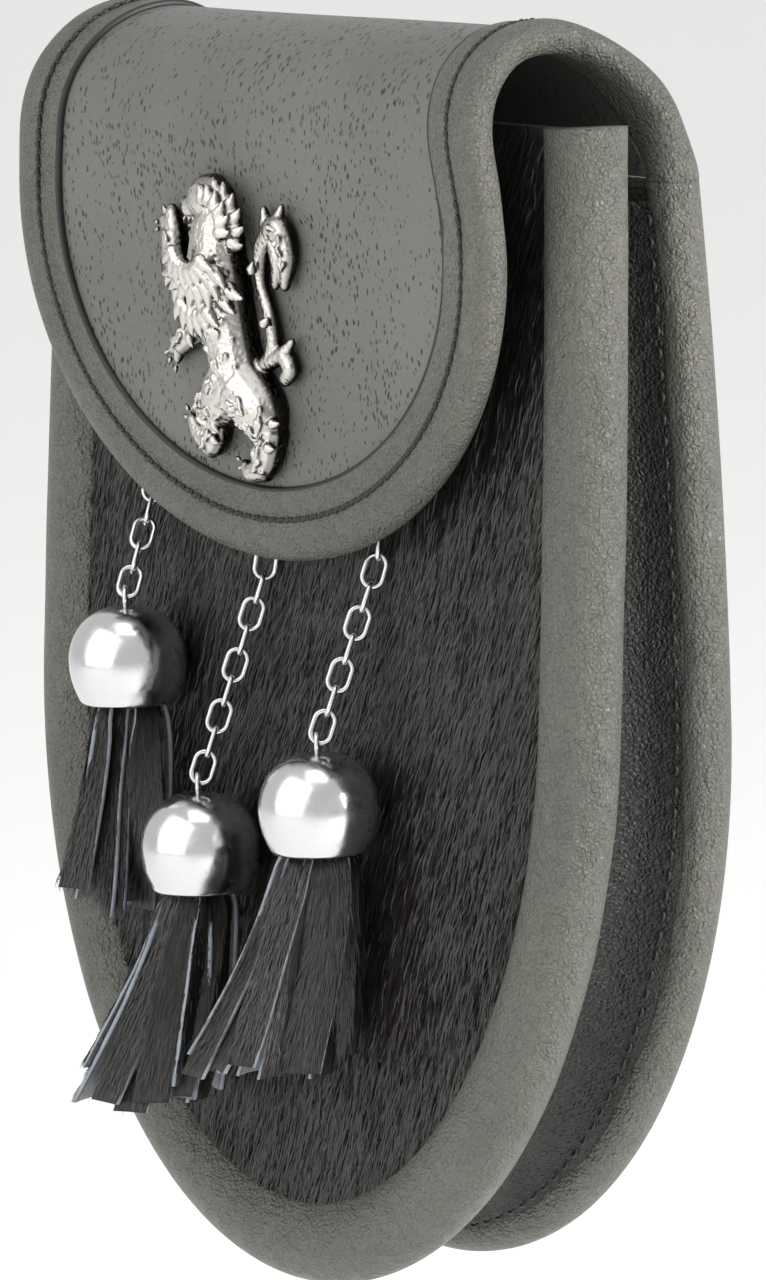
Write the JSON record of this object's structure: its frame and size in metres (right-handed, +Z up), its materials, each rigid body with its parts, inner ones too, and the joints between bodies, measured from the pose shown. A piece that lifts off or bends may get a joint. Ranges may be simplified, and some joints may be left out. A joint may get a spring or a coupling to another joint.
{
  "type": "sporran pouch",
  "caption": "Leather kilt pouch with a padded rim, a fur front, a fold-over flap with a lion badge, and hide tassels in metal cups on short chains.",
  "frame": {"origin": "between the two belt loops, at the middle of their tunnels, where the belt or chain strap passes", "axes": "+Z up, +Y towards the wearer, +X to the right as seen from the front"},
  "size_m": [0.144, 0.0667, 0.2033],
  "materials": {
    "grey_leather": "satin, fine grain",
    "pigskin": "satin, short dark pores",
    "back_leather": "satin",
    "loop_leather": "satin",
    "gusset_leather": "semi-matt",
    "fur": "short glossy hair",
    "tassel_hide": "strips of hair-on hide with grey suede backs",
    "chrome": "polished",
    "pewter": "polished pewter relief"
  },
  "bodies": {
    "root": {"back_binding": "grey_leather", "back_panel": "back_leather", "belt_loop_left": "loop_leather", "belt_loop_right": "loop_leather", "cup_left": "chrome", "cup_middle": "chrome", "cup_right": "chrome", "flap_binding": "grey_leather", "flap_panel": "pigskin", "front_binding": "grey_leather", "front_hide": "fur", "gusset": "gusset_leather", "link_left_1": "chrome", "link_left_2": "chrome", "link_left_3": "chrome", "link_left_4": "chrome", "link_left_5": "chrome", "link_middle_1": "chrome", "link_middle_10": "chrome", "link_middle_2": "chrome", "link_middle_3": "chrome", "link_middle_4": "chrome", "link_middle_5": "chrome", "link_middle_6": "chrome", "link_middle_7": "chrome", "link_middle_8": "chrome", "link_middle_9": "chrome", "link_right_1": "chrome", "link_right_2": "chrome", "link_right_3": "chrome", "link_right_4": "chrome", "link_right_5": "chrome", "link_right_6": "chrome", "link_right_7": "chrome", "link_right_8": "chrome", "lion_badge": "pewter", "post_left": "chrome", "post_middle": "chrome", "post_right": "chrome", "tassel_left": "tassel_hide", "tassel_middle": "tassel_hide", "tassel_right": "tassel_hide"}
  },
  "joints": []
}
